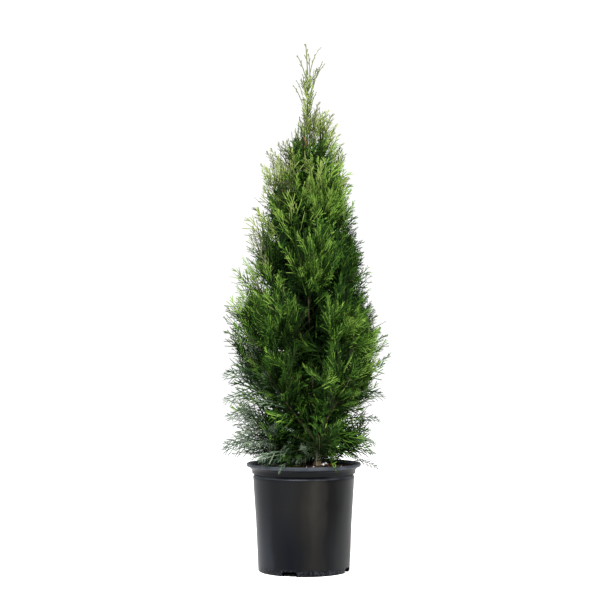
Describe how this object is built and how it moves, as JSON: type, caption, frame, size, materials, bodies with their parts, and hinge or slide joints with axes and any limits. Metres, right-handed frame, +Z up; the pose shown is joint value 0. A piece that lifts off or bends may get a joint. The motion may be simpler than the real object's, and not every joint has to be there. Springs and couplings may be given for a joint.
{
  "type": "potted thuja",
  "caption": "Young columnar thuja with a pointed leader and dense flat sprays on tiered boughs, standing in a filled round nursery pot.",
  "frame": {"origin": "centre of the pot's flat underside", "axes": "+Z up along the plant; -Y is the front, where the drain slot left of the middle shows; +X to the viewer's right"},
  "size_m": [0.3191, 0.3201, 1.043],
  "materials": {
    "pot": "satin black blow-moulded plastic",
    "soil": "moist dark brown bark-based potting mix",
    "bark": "thin stringy brown bark",
    "foliage": "scale leaves in flat sprays, mid green with yellow-green tips"
  },
  "bodies": {
    "root": {"pot": "pot", "soil": "soil", "trunk": "bark", "bough_skirt_1": "bark", "bough_skirt_2": "bark", "bough_skirt_3": "bark", "bough_skirt_4": "bark", "bough_skirt_5": "bark", "bough_low_1": "bark", "bough_low_2": "bark", "bough_low_3": "bark", "bough_low_4": "bark", "bough_low_5": "bark", "bough_middle_1": "bark", "bough_middle_2": "bark", "bough_middle_3": "bark", "bough_middle_4": "bark", "bough_middle_5": "bark", "bough_high_1": "bark", "bough_high_2": "bark", "bough_high_3": "bark", "bough_high_4": "bark", "bough_high_5": "bark", "bough_upper_1": "bark", "bough_upper_2": "bark", "bough_upper_3": "bark", "bough_upper_4": "bark", "bough_shoulder_1": "bark", "bough_shoulder_2": "bark", "bough_shoulder_3": "bark", "bough_shoulder_4": "bark", "foliage_skirt_1": "foliage", "foliage_skirt_2": "foliage", "foliage_skirt_3": "foliage", "foliage_skirt_4": "foliage", "foliage_skirt_5": "foliage", "foliage_low_1": "foliage", "foliage_low_2": "foliage", "foliage_low_3": "foliage", "foliage_low_4": "foliage", "foliage_low_5": "foliage", "foliage_middle_1": "foliage", "foliage_middle_2": "foliage", "foliage_middle_3": "foliage", "foliage_middle_4": "foliage", "foliage_middle_5": "foliage", "foliage_high_1": "foliage", "foliage_high_2": "foliage", "foliage_high_3": "foliage", "foliage_high_4": "foliage", "foliage_high_5": "foliage", "foliage_upper_1": "foliage", "foliage_upper_2": "foliage", "foliage_upper_3": "foliage", "foliage_upper_4": "foliage", "foliage_shoulder_1": "foliage", "foliage_shoulder_2": "foliage", "foliage_shoulder_3": "foliage", "foliage_shoulder_4": "foliage", "foliage_leader": "foliage"}
  },
  "joints": []
}
